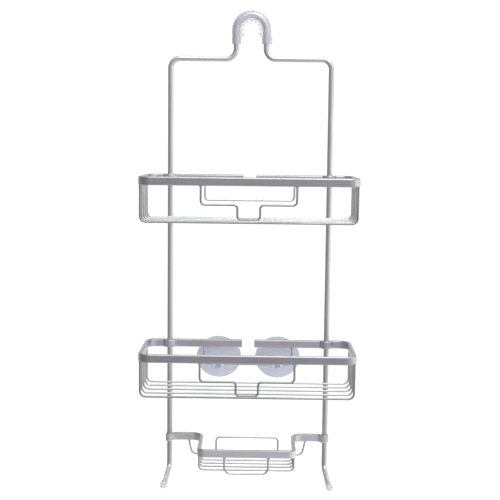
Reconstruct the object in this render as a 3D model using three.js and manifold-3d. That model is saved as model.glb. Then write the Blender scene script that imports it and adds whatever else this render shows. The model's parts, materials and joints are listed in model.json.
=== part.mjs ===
// Over-the-arm shower caddy, in millimetres.
// +Z is up, +Y points to the wall, and the origin is the axis of the shower arm that the caddy hangs on.
// One bent rod carries two wire baskets, a soap dish rail and two hooks. Flat straps cross the rod in
// half-round joggles, and every basket wire ends under the edge of a strap.

import * as THREE from 'three';
import { mergeVertices } from 'three/addons/utils/BufferGeometryUtils.js';
import Module from 'manifold-3d';

const wasm = await Module();
wasm.setup();

// ---------------------------------------------------------------- driving dimensions

const GAP = 0.3;                  // play between pieces that touch
const BEND_STEP = Math.PI / 9;    // largest facet of a bend

const ROD_R = 4;                  // hanger rod
const ARCH_R = 21.5;
const SHOULDER_Z = -41;
const NECK_BEND = 14.5;
const SHOULDER_BEND = 13.5;
const POST_X = 115.5;
const HOOK_Z = -642.6;
const HOOK_BEND = 12;
const HOOK_KNEE = { out: 4, forward: 26, drop: 14.2, bend: 25 };
const HOOK_TIP = { out: 6, forward: 37, drop: 18 };

const CAP_R = 5.5;                // clear caps on the hook tips
const CAP_DEPTH = 7;

const JACKET_R = 6.8;             // plastic sleeve over the arch
const SLEEVE_END_Z = -19.5;
const WEB_T = 9;
const WEB_END = THREE.MathUtils.degToRad(34);
const TOOTH_ROOT_R = 14.5;
const TOOTH_TIP_R = 10.65;
const TOOTH_COUNT = 9;
const TOOTH_FIRST = THREE.MathUtils.degToRad(-24);
const TOOTH_PITCH = THREE.MathUtils.degToRad(28.75);
const TOOTH_ROOT_HALF = THREE.MathUtils.degToRad(7);
const TOOTH_TIP_HALF = THREE.MathUtils.degToRad(4.5);
const LUG = { x: 30, width: 7, height: 12 };

const STRAP_H = 12;               // flat straps
const STRAP_T = 5.5;
const STRAP_EDGE = 1.8;
const JOGGLE_R = ROD_R + GAP + STRAP_T / 2;
const JOGGLE_FILLET = 4;

const WIRE_R = 1.5;               // thin wires

const BASKET_W = 302;
const BASKET_FRONT_Y = -118;
const BASKET_TOPS = { upper: -206.5, lower: -449.5 };
const BASKET_CORNER = 14.5;
const BASKET_REAR_SLOT = 18;
const FLOOR_DROP = 62.4;
const FLOOR_WIRES = 5;
const FLOOR_PITCH = 22.8;
const FLOOR_BEND = 8;

const GUARD_W = 130;
const GUARD_DROP = 37.5;
const GUARD_BEND = 5.5;
const STEM_W = 30.8;
const STEM_DROP = 57;
const STEM_BEND = 5;

const RAIL_TOP_Z = -591;          // soap dish rail
const RAIL_WRAP = THREE.MathUtils.degToRad(30);
const RAIL_TAIL = 0.8;
const RAIL_REAR_BEND = 14;
const RAIL_FRONT_BEND = 8;
const DISH_X = 67.4;
const DISH_FRONT_Y = -88.5;
const DISH_FLOOR_Z = -623.5;
const DISH_WIRES = 5;
const DISH_FIRST_Y = -15;
const DISH_PITCH = 15.3;
const DISH_BEND = 6;
const BACK_WIRE = { topX: 86.5, bottomX: 82, bend: 8 };
const BACK_ARCH = { x: 46, top: -598, bend: 6 };
const LOOP = { x: 31, bottom: -626, bend: 9 };

const CUP_X = 43.7;               // suction cups, in their own upright frame about the wire
const CUP_TILT = THREE.MathUtils.degToRad(11.3);
const CUP_R = 33.25;
const CUP_RIM_Y = 21;
const CUP_RISE = 3.5;
const CUP_LIP = 0.6;
const CUP_SEAL = 2.4;
const CUP_NECK_R = 7;
const CUP_NECK_Y = 4.5;
const CUP_DOME_Y = 9;
const CUP_CAVITY_Y = 13.8;
const EYE_R = 6;
const EYE_W = 8;
const EYE_MOUTH = 5;
const BUSH_R = 3.4;
const BUSH_W = 14;
const BUSH_MOUTH = THREE.MathUtils.degToRad(80);

// ---------------------------------------------------------------- centre lines and sections

function corner(x, y, z, bend = 0) {
  return { at: new THREE.Vector3(x, y, z), bend };
}

/** A centre line of straight runs and round bends, with one station at each end of every facet. */
class BentPath extends THREE.Curve {
  constructor(corners) {
    super();
    this.stations = [];
    corners.forEach(({ at, bend }, i) => {
      const into = i > 0 ? at.clone().sub(corners[i - 1].at).normalize() : null;
      const away = i < corners.length - 1 ? corners[i + 1].at.clone().sub(at).normalize() : null;
      if (into && away) {
        this.addBend(at, bend, into, away);
      } else {
        this.addStation(at, into ?? away);
      }
    });
  }

  addStation(point, tangent) {
    const last = this.stations.at(-1);
    if (!last || last.point.distanceTo(point) > 1e-3) {
      this.stations.push({ point: point.clone(), tangent: tangent.clone() });
    }
  }

  addBend(at, bend, into, away) {
    const turn = into.angleTo(away);
    const axis = new THREE.Vector3().crossVectors(into, away).normalize();
    const start = at.clone().addScaledVector(into, -bend * Math.tan(turn / 2));
    const centre = start.clone().addScaledVector(axis.clone().cross(into), bend);
    const steps = Math.ceil(turn / BEND_STEP);
    for (let i = 0; i <= steps; i += 1) {
      const angle = turn * i / steps;
      const spoke = start.clone().sub(centre).applyAxisAngle(axis, angle);
      this.addStation(spoke.add(centre), into.clone().applyAxisAngle(axis, angle));
    }
  }

  station(u) {
    return this.stations[Math.round(u * (this.stations.length - 1))];
  }

  getPointAt(u, target = new THREE.Vector3()) {
    return target.copy(this.station(u).point);
  }

  getTangentAt(u, target = new THREE.Vector3()) {
    return target.copy(this.station(u).tangent);
  }
}

function roundSection(radius, sides) {
  const section = new THREE.Shape();
  for (let i = 0; i < sides; i += 1) {
    const angle = 2 * Math.PI * i / sides;
    section[i ? 'lineTo' : 'moveTo'](radius * Math.cos(angle), radius * Math.sin(angle));
  }
  return section;
}

/** A flat strap stands on edge: its height lies along the section's first axis. */
function strapSection() {
  const h = STRAP_H / 2;
  const t = STRAP_T / 2;
  const e = STRAP_EDGE;
  return new THREE.Shape([
    new THREE.Vector2(h - e, -t),
    new THREE.Vector2(h, e - t),
    new THREE.Vector2(h, t - e),
    new THREE.Vector2(h - e, t),
    new THREE.Vector2(e - h, t),
    new THREE.Vector2(-h, t - e),
    new THREE.Vector2(-h, e - t),
    new THREE.Vector2(e - h, -t),
  ]);
}

function sweep(section, corners) {
  const path = new BentPath(corners);
  return new THREE.ExtrudeGeometry(section, { steps: path.stations.length - 1, extrudePath: path });
}

function wire(corners) {
  return sweep(roundSection(WIRE_R, 8), corners);
}

function strap(corners) {
  return sweep(strapSection(), corners);
}

/** The corners of one half of a piece, continued by the same corners on the other side of X = 0. */
function mirrored(half) {
  const left = half.map(({ at, bend }) => corner(-at.x, at.y, at.z, bend));
  return [...left, ...half.reverse()];
}

// ---------------------------------------------------------------- joins and cuts

function solidOf(geometry) {
  const bare = geometry.clone();
  bare.deleteAttribute('normal');
  bare.deleteAttribute('uv');
  const merged = mergeVertices(bare, 1e-4);
  const corners = merged.index.array;
  const triangles = [];
  for (let i = 0; i < corners.length; i += 3) {
    const [a, b, c] = corners.slice(i, i + 3);
    if (a !== b && b !== c && c !== a) {
      triangles.push(a, b, c);
    }
  }
  return new wasm.Manifold(new wasm.Mesh({
    numProp: 3,
    vertProperties: new Float32Array(merged.attributes.position.array),
    triVerts: new Uint32Array(triangles),
  }));
}

function geometryOf(solid) {
  const mesh = solid.getMesh();
  const geometry = new THREE.BufferGeometry();
  geometry.setAttribute('position', new THREE.BufferAttribute(mesh.vertProperties, 3));
  geometry.setIndex(new THREE.BufferAttribute(mesh.triVerts, 1));
  geometry.computeVertexNormals();
  return geometry;
}

// ---------------------------------------------------------------- hanger

function hangerHalf(side) {
  return [
    corner(side * ARCH_R, 0, ARCH_R, ARCH_R),
    corner(side * ARCH_R, 0, SHOULDER_Z, NECK_BEND),
    corner(side * POST_X, 0, SHOULDER_Z, SHOULDER_BEND),
    corner(side * POST_X, 0, HOOK_Z, HOOK_BEND),
    corner(side * (POST_X + HOOK_KNEE.out), -HOOK_KNEE.forward, HOOK_Z - HOOK_KNEE.drop, HOOK_KNEE.bend),
    hookTip(side),
  ];
}

function hookTip(side) {
  return corner(side * (POST_X + HOOK_TIP.out), -HOOK_TIP.forward, HOOK_Z - HOOK_TIP.drop);
}

function hangerFrame() {
  return sweep(roundSection(ROD_R, 12), [...hangerHalf(-1).reverse(), ...hangerHalf(1)]);
}

function archTube(radius, sides, endZ) {
  return sweep(roundSection(radius, sides), [
    corner(-ARCH_R, 0, endZ),
    corner(-ARCH_R, 0, ARCH_R, ARCH_R),
    corner(ARCH_R, 0, ARCH_R, ARCH_R),
    corner(ARCH_R, 0, endZ),
  ]);
}

/** A ring sector inside the arch whose inner edge has blunt teeth that bite on the shower arm. */
function toothedWeb() {
  const outline = new THREE.Shape();
  const inner = (radius, angle) => outline.lineTo(radius * Math.cos(angle), radius * Math.sin(angle));
  outline.absarc(0, 0, ARCH_R, -WEB_END, Math.PI + WEB_END, false);
  inner(TOOTH_ROOT_R, Math.PI + WEB_END);
  for (let i = TOOTH_COUNT - 1; i >= 0; i -= 1) {
    const middle = TOOTH_FIRST + i * TOOTH_PITCH;
    inner(TOOTH_ROOT_R, middle + TOOTH_ROOT_HALF);
    inner(TOOTH_TIP_R, middle + TOOTH_TIP_HALF);
    inner(TOOTH_TIP_R, middle - TOOTH_TIP_HALF);
    inner(TOOTH_ROOT_R, middle - TOOTH_ROOT_HALF);
  }
  inner(TOOTH_ROOT_R, -WEB_END);
  const web = new THREE.ExtrudeGeometry(outline, { depth: WEB_T, bevelEnabled: false, curveSegments: 20 });
  web.translate(0, 0, -WEB_T / 2);
  return web.rotateX(Math.PI / 2);
}

function hookSleeve() {
  const lugInnerX = ARCH_R + ROD_R + 1;
  const lug = new THREE.BoxGeometry(LUG.x - lugInnerX, LUG.width, LUG.height);
  lug.translate((LUG.x + lugInnerX) / 2, 0, SLEEVE_END_Z + LUG.height / 2);
  const body = solidOf(archTube(JACKET_R, 16, SLEEVE_END_Z)).add(solidOf(toothedWeb())).add(solidOf(lug));
  return geometryOf(body.subtract(solidOf(archTube(ROD_R + GAP, 12, SLEEVE_END_Z - 1))));
}

/** A round cap that is pushed over the rod's end, drawn along +Y with the rod's end at the origin. */
function hookCap() {
  const profile = new THREE.Path();
  profile.moveTo(0, GAP);
  profile.lineTo(ROD_R + GAP, GAP);
  profile.lineTo(ROD_R + GAP, -CAP_DEPTH);
  profile.lineTo(CAP_R - 0.5, -CAP_DEPTH);
  profile.lineTo(CAP_R, -CAP_DEPTH / 2);
  profile.absarc(0, 0, CAP_R, 0, Math.PI / 2, false);
  return new THREE.LatheGeometry(profile.getPoints(5), 20);
}

// ---------------------------------------------------------------- straps

/** The half-round set in a strap where it passes in front of a post. */
function joggle(x, z) {
  const reach = Math.sqrt(JOGGLE_R ** 2 + 2 * JOGGLE_R * JOGGLE_FILLET);
  const turn = Math.PI / 2 - Math.atan2(JOGGLE_FILLET, reach);
  const foot = reach - JOGGLE_FILLET * Math.tan(turn / 2);
  const brow = JOGGLE_R * Math.tan(turn / 2);
  return [
    corner(x - foot, 0, z, JOGGLE_FILLET),
    corner(x - brow, -JOGGLE_R, z, JOGGLE_R),
    corner(x + brow, -JOGGLE_R, z, JOGGLE_R),
    corner(x + foot, 0, z, JOGGLE_FILLET),
  ];
}

function basketBand(topZ) {
  const z = topZ - STRAP_H / 2;
  const sideX = (BASKET_W - STRAP_T) / 2;
  return strap(mirrored([
    corner(BASKET_REAR_SLOT / 2, 0, z),
    ...joggle(POST_X, z),
    corner(sideX, 0, z, BASKET_CORNER),
    corner(sideX, BASKET_FRONT_Y + STRAP_T / 2, z, BASKET_CORNER),
  ]));
}

/** The rail ends in front of the post: past the post's front it turns by the wrap and stops after a short tail. */
function railEnd(x, z) {
  const [foot, brow] = joggle(x, z);
  const endX = x + JOGGLE_R * Math.sin(RAIL_WRAP) + RAIL_TAIL * Math.cos(RAIL_WRAP);
  const endY = RAIL_TAIL * Math.sin(RAIL_WRAP) - JOGGLE_R * Math.cos(RAIL_WRAP);
  return [
    corner(endX, endY, z),
    corner(x + JOGGLE_R * Math.tan(RAIL_WRAP / 2), -JOGGLE_R, z, JOGGLE_R),
    brow,
    foot,
  ];
}

function dishRail() {
  const z = RAIL_TOP_Z - STRAP_H / 2;
  return strap(mirrored([
    ...railEnd(POST_X, z),
    corner(DISH_X, 0, z, RAIL_REAR_BEND),
    corner(DISH_X, DISH_FRONT_Y + STRAP_T / 2, z, RAIL_FRONT_BEND),
  ]));
}

// ---------------------------------------------------------------- wires

function uWire(x, y, topZ, bottomZ, bend) {
  return wire(mirrored([
    corner(x, y, topZ),
    corner(x, y, bottomZ, bend),
  ]));
}

function underBand(topZ) {
  return topZ - STRAP_H - GAP;
}

function floorWire(topZ, row) {
  const middleY = (BASKET_FRONT_Y + STRAP_T / 2) / 2;
  const y = middleY + (row - (FLOOR_WIRES - 1) / 2) * FLOOR_PITCH;
  return uWire((BASKET_W - STRAP_T) / 2, y, underBand(topZ), topZ - FLOOR_DROP, FLOOR_BEND);
}

function frontGuard(topZ) {
  const y = BASKET_FRONT_Y + STRAP_T / 2;
  return wire(mirrored([
    corner(GUARD_W / 2, y, underBand(topZ)),
    corner(GUARD_W / 2, y, topZ - GUARD_DROP, GUARD_BEND),
    corner(STEM_W / 2, y, topZ - GUARD_DROP, STEM_BEND),
    corner(STEM_W / 2, y, topZ - STEM_DROP, STEM_BEND),
  ]));
}

function rearGuard(topZ) {
  return uWire(GUARD_W / 2, 0, underBand(topZ), topZ - GUARD_DROP, GUARD_BEND);
}

function dishFloorWire(row) {
  const y = DISH_FIRST_Y - row * DISH_PITCH;
  return uWire(DISH_X, y, underBand(RAIL_TOP_Z), DISH_FLOOR_Z, DISH_BEND);
}

function dishBackWire() {
  return wire(mirrored([
    corner(BACK_WIRE.topX, 0, underBand(RAIL_TOP_Z)),
    corner(BACK_WIRE.bottomX, 0, DISH_FLOOR_Z, BACK_WIRE.bend),
  ]));
}

function dishBackArch() {
  return uWire(BACK_ARCH.x, 0, DISH_FLOOR_Z + WIRE_R + GAP, BACK_ARCH.top, BACK_ARCH.bend);
}

function washclothLoop() {
  return uWire(LOOP.x, DISH_FRONT_Y + STRAP_T / 2, underBand(RAIL_TOP_Z), LOOP.bottom, LOOP.bend);
}

// ---------------------------------------------------------------- suction cups

/** A split bush that snaps over the rear guard's wire and slides along it; its mouth is at the bottom. */
function cupBush() {
  const outline = new THREE.Shape();
  const from = -Math.PI / 2 + BUSH_MOUTH / 2;
  const to = 3 * Math.PI / 2 - BUSH_MOUTH / 2;
  outline.absarc(0, 0, BUSH_R, from, to, false);
  outline.absarc(0, 0, WIRE_R + GAP, to, from, true);
  const bush = new THREE.ExtrudeGeometry(outline, { depth: BUSH_W, bevelEnabled: false, curveSegments: 14 });
  bush.translate(0, 0, -BUSH_W / 2);
  return alongX(bush);
}

/** Turns a shape drawn in X and Y and extruded along Z so that it runs along X with its Y up. */
function alongX(geometry) {
  return geometry.rotateX(Math.PI / 2).rotateZ(Math.PI / 2);
}

function cylinderAlongX(radius, length, sides) {
  return new THREE.CylinderGeometry(radius, radius, length, sides).rotateZ(Math.PI / 2);
}

/** A thin dome that opens to the wall, on a neck whose open eye turns on the bush. */
function suctionCup() {
  const profile = new THREE.Path();
  profile.moveTo(0, CUP_NECK_Y);
  profile.lineTo(CUP_NECK_R, CUP_NECK_Y);
  profile.lineTo(CUP_NECK_R, CUP_DOME_Y);
  profile.quadraticCurveTo(CUP_R * 0.62, CUP_DOME_Y + 3, CUP_R, CUP_RIM_Y - CUP_LIP);
  profile.lineTo(CUP_R - CUP_LIP, CUP_RIM_Y);
  profile.lineTo(CUP_R - CUP_LIP - CUP_SEAL, CUP_RIM_Y);
  profile.quadraticCurveTo(CUP_R * 0.55, CUP_CAVITY_Y, 0, CUP_CAVITY_Y);
  const dome = new THREE.LatheGeometry(profile.getPoints(6), 28).translate(0, 0, CUP_RISE);
  const eye = cylinderAlongX(EYE_R, EYE_W, 20);
  const bore = cylinderAlongX(BUSH_R + GAP, 3 * CUP_NECK_R, 20);
  const mouth = new THREE.BoxGeometry(3 * CUP_NECK_R, EYE_MOUTH, 2 * EYE_R).translate(0, 0, -EYE_R);
  const body = solidOf(dome).add(solidOf(eye));
  return geometryOf(body.subtract(solidOf(bore)).subtract(solidOf(mouth)));
}

// ---------------------------------------------------------------- assembly

const aluminium = new THREE.MeshStandardMaterial({ color: 0xa9abad, roughness: 0.36, metalness: 1 });
const wireMetal = new THREE.MeshStandardMaterial({ color: 0xa4a6a8, roughness: 0.32, metalness: 1 });
const clearPlastic = new THREE.MeshStandardMaterial({ color: 0xdadce4, roughness: 0.3, metalness: 0 });
const softVinyl = new THREE.MeshStandardMaterial({ color: 0xb9bccb, roughness: 0.25, metalness: 0 });

const caddy = new THREE.Group();

function piece(name, geometry, material, parent = caddy) {
  const mesh = new THREE.Mesh(geometry, material);
  mesh.name = name;
  parent.add(mesh);
  return mesh;
}

function addHanger() {
  piece('hanger_frame', hangerFrame(), aluminium);
  piece('hook_sleeve', hookSleeve(), clearPlastic);
  for (const [name, side] of [['left', -1], ['right', 1]]) {
    const [knee, tip] = hangerHalf(side).slice(-2);
    const cap = piece(`${name}_hook_cap`, hookCap(), clearPlastic);
    cap.position.copy(tip.at);
    cap.quaternion.setFromUnitVectors(new THREE.Vector3(0, 1, 0), tip.at.clone().sub(knee.at).normalize());
  }
}

function addBaskets() {
  for (const [name, topZ] of Object.entries(BASKET_TOPS)) {
    piece(`${name}_band`, basketBand(topZ), aluminium);
    piece(`${name}_front_guard`, frontGuard(topZ), wireMetal);
    piece(`${name}_rear_guard`, rearGuard(topZ), wireMetal);
    for (let row = 0; row < FLOOR_WIRES; row += 1) {
      piece(`${name}_floor_wire_${row + 1}`, floorWire(topZ, row), wireMetal);
    }
  }
}

function addSoapDish() {
  piece('dish_rail', dishRail(), aluminium);
  for (let row = 0; row < DISH_WIRES; row += 1) {
    piece(`dish_floor_wire_${row + 1}`, dishFloorWire(row), wireMetal);
  }
  piece('dish_back_wire', dishBackWire(), wireMetal);
  piece('dish_back_arch', dishBackArch(), wireMetal);
  piece('washcloth_loop', washclothLoop(), wireMetal);
}

function addSuctionCups() {
  for (const [name, side] of [['left', -1], ['right', 1]]) {
    const seat = new THREE.Group();
    seat.position.set(side * CUP_X, 0, BASKET_TOPS.lower - GUARD_DROP);
    seat.rotation.x = CUP_TILT;
    caddy.add(seat);
    piece(`${name}_cup_bush`, cupBush(), clearPlastic, seat);
    piece(`${name}_suction_cup`, suctionCup(), softVinyl, seat);
  }
}

addHanger();
addBaskets();
addSoapDish();
addSuctionCups();

export default caddy;
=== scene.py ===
"""Shower caddy: a bent aluminium rod with two wire baskets, a soap dish, a grip sleeve and suction cups.

Every metal piece is one length of bar: its section is drawn along straight runs and spun round bends.
Lengths are in metres, +Z is up and +Y points to the wall.
"""

import json
import math

import bmesh
import bpy
from bpy.props import FloatProperty, FloatVectorProperty, IntProperty, PointerProperty
from mathutils import Matrix, Vector


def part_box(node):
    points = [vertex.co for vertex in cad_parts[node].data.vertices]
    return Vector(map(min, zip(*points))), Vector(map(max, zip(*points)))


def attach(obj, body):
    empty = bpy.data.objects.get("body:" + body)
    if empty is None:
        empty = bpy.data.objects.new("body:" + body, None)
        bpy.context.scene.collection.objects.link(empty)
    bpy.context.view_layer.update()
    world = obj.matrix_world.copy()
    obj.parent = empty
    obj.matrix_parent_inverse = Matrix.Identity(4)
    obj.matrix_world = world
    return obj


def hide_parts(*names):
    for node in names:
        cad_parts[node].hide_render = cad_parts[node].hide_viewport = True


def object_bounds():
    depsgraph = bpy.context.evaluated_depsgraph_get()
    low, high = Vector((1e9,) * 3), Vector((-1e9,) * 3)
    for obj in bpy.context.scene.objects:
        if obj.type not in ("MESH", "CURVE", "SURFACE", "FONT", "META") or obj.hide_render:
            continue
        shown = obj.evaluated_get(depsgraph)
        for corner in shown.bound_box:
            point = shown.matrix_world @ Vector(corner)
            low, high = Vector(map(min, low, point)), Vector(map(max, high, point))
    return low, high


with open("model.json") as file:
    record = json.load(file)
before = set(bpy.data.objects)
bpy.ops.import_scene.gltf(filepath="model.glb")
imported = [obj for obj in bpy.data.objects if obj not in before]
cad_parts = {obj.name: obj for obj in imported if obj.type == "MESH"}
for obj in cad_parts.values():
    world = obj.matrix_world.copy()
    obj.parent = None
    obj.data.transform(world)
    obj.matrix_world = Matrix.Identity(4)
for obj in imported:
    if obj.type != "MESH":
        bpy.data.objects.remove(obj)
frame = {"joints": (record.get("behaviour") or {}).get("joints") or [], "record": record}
CAD_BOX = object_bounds()

bl_info = {
    "name": "Shower caddy",
    "version": (1, 0, 0),
    "blender": (4, 5, 0),
    "location": "View3D > Sidebar > Caddy",
    "description": "Builds an over-the-arm shower caddy around its packed frame",
    "category": "Object",
}

MM = 0.001
X_AXIS = Vector((1.0, 0.0, 0.0))
Y_AXIS = Vector((0.0, 1.0, 0.0))
Z_AXIS = Vector((0.0, 0.0, 1.0))
SIDES = {"left": -1, "right": 1}
BASKETS = ("upper", "lower")
ROWS = range(1, 6)
SHARP_ANGLE = math.radians(42)
FULL_TURN = 2 * math.pi
WHITE = (1.0, 1.0, 1.0, 1.0)


# ---------------------------------------------------------------- sizes and colours

def length(name, default, description):
    """A length that a user may change, kept in metres."""
    return FloatProperty(
        name=name,
        description=description,
        default=default,
        min=0.0,
        precision=5,
        unit="LENGTH",
        subtype="DISTANCE",
    )


def angle(name, degrees, description):
    """An angle, given in degrees and kept in radians."""
    return FloatProperty(
        name=name,
        description=description,
        default=math.radians(degrees),
        unit="ROTATION",
        subtype="ANGLE",
    )


def share(name, default, description):
    """A part of a whole, from 0 to 1."""
    return FloatProperty(
        name=name,
        description=description,
        default=default,
        min=0.0,
        max=1.0,
        subtype="FACTOR",
    )


def power(name, default, description):
    """The power of a light, in watts."""
    return FloatProperty(name=name, description=description, default=default, unit="POWER")


def colour(name, default, description):
    """A linear colour without its alpha."""
    return FloatVectorProperty(
        name=name,
        description=description,
        default=default,
        size=3,
        min=0.0,
        max=1.0,
        subtype="COLOR",
    )


class RodSettings(bpy.types.PropertyGroup):
    """The bent hanger rod."""
    radius: length("Radius", 4 * MM, "Radius of the rod")
    post: length("Post offset", 115.5 * MM, "Distance of each post from the middle")
    shoulder: length("Shoulder drop", 41 * MM, "Drop from the shower arm's axis to the shoulders")
    neck_bend: length("Neck bend", 14.5 * MM, "Bend from the arch's legs into the shoulders")
    shoulder_bend: length("Shoulder bend", 13.5 * MM, "Bend from the shoulders into the posts")
    hook_bend: length("Hook bend", 12 * MM, "Bend from a post into its hook")
    knee_bend: length("Hook tip bend", 25 * MM, "Gentle bend near the hook's tip")
    hook_reach: length("Hook reach", 37 * MM, "How far a hook's rod ends in front of its post")
    hook_splay: length("Hook splay", 6 * MM, "How far a hook's rod ends outside its post")
    hook_drop: length("Hook drop", 18 * MM, "Drop from the hook's bend to its rod end")
    knee: share("Knee place", 0.7, "Share of the reach where the tip starts to level out")
    knee_drop: share("Knee drop", 0.79, "Share of the drop already made at the knee")
    hook_height: length("Hook bend depth", 642.6 * MM, "Depth of the bend below the shower arm's axis")


class StrapSettings(bpy.types.PropertyGroup):
    """The flat straps."""
    thickness: length("Thickness", 5.5 * MM, "Thickness of a strap")
    edge: length("Edge rounding", 2.3 * MM, "Rounding of a strap's long edges")
    fillet: length("Joggle fillet", 4 * MM, "Fillet at each foot of the set round a post")
    play: length("Play", 0.3 * MM, "Gap between a post and the strap in front of it")
    basket_corner: length("Basket corner", 14.5 * MM, "Corner radius of a basket's strap")
    slot: length("Rear slot", 18 * MM, "Gap between a basket strap's two ends")
    rail_wrap: angle("Rail wrap", 30, "How far the rail's end turns round its post, past the front")
    rail_tail: length("Rail tail", 0.8 * MM, "Straight end of the rail past that turn")
    dish_side: length("Dish side offset", 67.4 * MM, "Distance of the soap dish's sides from the middle")
    dish_rear_bend: length("Dish rear bend", 14 * MM, "Bend from the rail's ends into the dish's sides")
    dish_front_bend: length("Dish front bend", 8 * MM, "Bend at the dish's front corners")


class WireSettings(bpy.types.PropertyGroup):
    """The thin wires."""
    floor_bend: length("Floor bend", 8 * MM, "Corner radius of a basket's floor wires")
    guard_bend: length("Guard bend", 5.5 * MM, "Corner radius of the guard wires")
    stem: length("Stem width", 30.8 * MM, "Width of the narrow lower part of a front guard")
    dish_bend: length("Dish bend", 6 * MM, "Corner radius of the dish's wires")
    back_bend: length("Back wire bend", 8 * MM, "Corner radius of the wide wire behind the dish")
    back_taper: length("Back wire taper", 4.5 * MM, "How far each leg of the wide wire leans in")
    loop_bend: length("Loop bend", 9 * MM, "Corner radius of the washcloth loop")
    bead: length("Weld bead", 2.05 * MM, "Half width of a weld bead across its strap")
    bead_reach: length("Weld bead reach", 2.4 * MM, "Half length of a weld bead along its strap")


class PlasticSettings(bpy.types.PropertyGroup):
    """The sleeve, the caps, the bushes and the suction cups."""
    web: length("Web thickness", 9 * MM, "Thickness of the sleeve's toothed web")
    tooth_root: length("Tooth root radius", 14.5 * MM, "Radius at the root of the teeth")
    tooth_tip: length("Tooth tip radius", 10.65 * MM, "Radius of the shower arm, which the teeth touch")
    teeth: IntProperty(name="Teeth", description="Number of teeth", default=9, min=3)
    tooth_first: angle("First tooth", -24, "Angle of the lowest tooth on the right")
    tooth_pitch: angle("Tooth pitch", 28.75, "Angle from one tooth to the next")
    voxel: length("Moulding grain", 0.36 * MM, "Grid size that fuses the sleeve into one moulding")
    cap: length("Cap radius", 5.45 * MM, "Radius of the round caps on the hook tips")
    cap_depth: length("Cap depth", 7 * MM, "How far a cap reaches back along its rod")
    dome: length("Dome foot", 9 * MM, "Distance from the wire to the front of a cup's dome")
    rim: length("Rim distance", 20.95 * MM, "Distance from the wire to a cup's rim")
    cavity: length("Cavity floor", 13.8 * MM, "Distance from the wire to the bottom of a cup's hollow")
    rise: length("Cup rise", 3.5 * MM, "How far a cup's middle lies above the wire")
    neck: length("Neck radius", 7 * MM, "Radius of a cup's neck")
    eye: length("Eye radius", 6 * MM, "Outer radius of the eye that turns on the bush")
    eye_width: length("Eye width", 8 * MM, "Width of the eye")
    bush: length("Bush radius", 3.4 * MM, "Outer radius of a bush")
    mouth: angle("Snap mouth", 80, "Opening of the eye and the bush")


class FinishSettings(bpy.types.PropertyGroup):
    """Colours of the surfaces, some of them painted shade or a painted highlight."""
    strap: colour("Strap", (0.60, 0.598, 0.635), "Anodised strap of a basket")
    rail: colour("Rail", (0.77, 0.767, 0.82), "Anodised rail of the soap dish")
    # Painted shade: darkens the straps' rounded upper edges, where the light from above falls brightest;
    # the metal is no duller there.
    strap_edge_shade: colour("Strap edge", (0.31, 0.309, 0.325), "The duller upper edges of the straps")
    # Painted shade at the front of a basket's strap, where its face gets less light; the anodising is no
    # darker there.
    strap_front_shade: colour("Strap front", (0.40, 0.399, 0.43), "The darker front of a basket's strap")
    rod: colour("Rod", (0.62, 0.62, 0.635), "Anodised rod")
    wire: colour("Wire", (0.58, 0.58, 0.61), "Anodised wire")
    # Painted shade on the wires at a basket's front; the wire there is no darker.
    wire_front_shade: colour("Wire front", (0.33, 0.33, 0.345), "The darker wires at a basket's front")
    weld: colour("Weld", (0.46, 0.465, 0.475), "Bare weld metal")
    sleeve: colour("Sleeve", (0.84, 0.845, 0.92), "Soft translucent sleeve")
    cap: colour("Cap", (0.88, 0.885, 0.92), "Clear cap")
    # Partly painted highlight: the bush is milky plastic, made whiter and less clear so that it shows as
    # the bright highlight bar under the band.
    bush: colour("Bush", (0.93, 0.935, 0.95), "Milky bush")
    cup: colour("Cup", (0.63, 0.65, 0.75), "Soft translucent vinyl")
    floor: colour("Floor", (0.93, 0.93, 0.93), "Pale floor")


class StageSettings(bpy.types.PropertyGroup):
    """Camera, light and floor."""
    lens: FloatProperty(name="Lens", description="Focal length", default=74.74, unit="CAMERA")
    camera_side: length("Camera side", 13.7 * MM, "Camera's place to the right of the middle")
    camera_back: length("Camera distance", 1511.5 * MM, "Camera's distance in front of the rod")
    camera_drop: length("Camera drop", 157 * MM, "Camera's depth below the shower arm's axis")
    pitch: angle("Pitch", 6.03, "How far the camera looks down")
    yaw: angle("Yaw", 0.473, "How far the camera looks to the left")
    roll: angle("Roll", 0.641, "How far the camera is rolled")
    floor_gap: length("Floor gap", 300 * MM, "Distance from the lowest hook to the floor")
    floor_radius: length("Floor radius", 1300 * MM, "Radius of the round floor")
    key: power("Key light", 16.0, "Power of the large light above")
    side: power("Side light", 1.0, "Power of the light on the right")


GROUPS = {
    "caddy_rod": RodSettings,
    "caddy_strap": StrapSettings,
    "caddy_wire": WireSettings,
    "caddy_plastic": PlasticSettings,
    "caddy_finish": FinishSettings,
    "caddy_stage": StageSettings,
}


# ---------------------------------------------------------------- bars

def bevel(mesh, geometry, offset, segments, affect="EDGES"):
    """Rounds edges, or the corners of a flat outline."""
    bmesh.ops.bevel(
        mesh,
        geom=geometry,
        offset=offset,
        segments=segments,
        profile=0.5,
        affect=affect,
        material=-1,
    )


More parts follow.
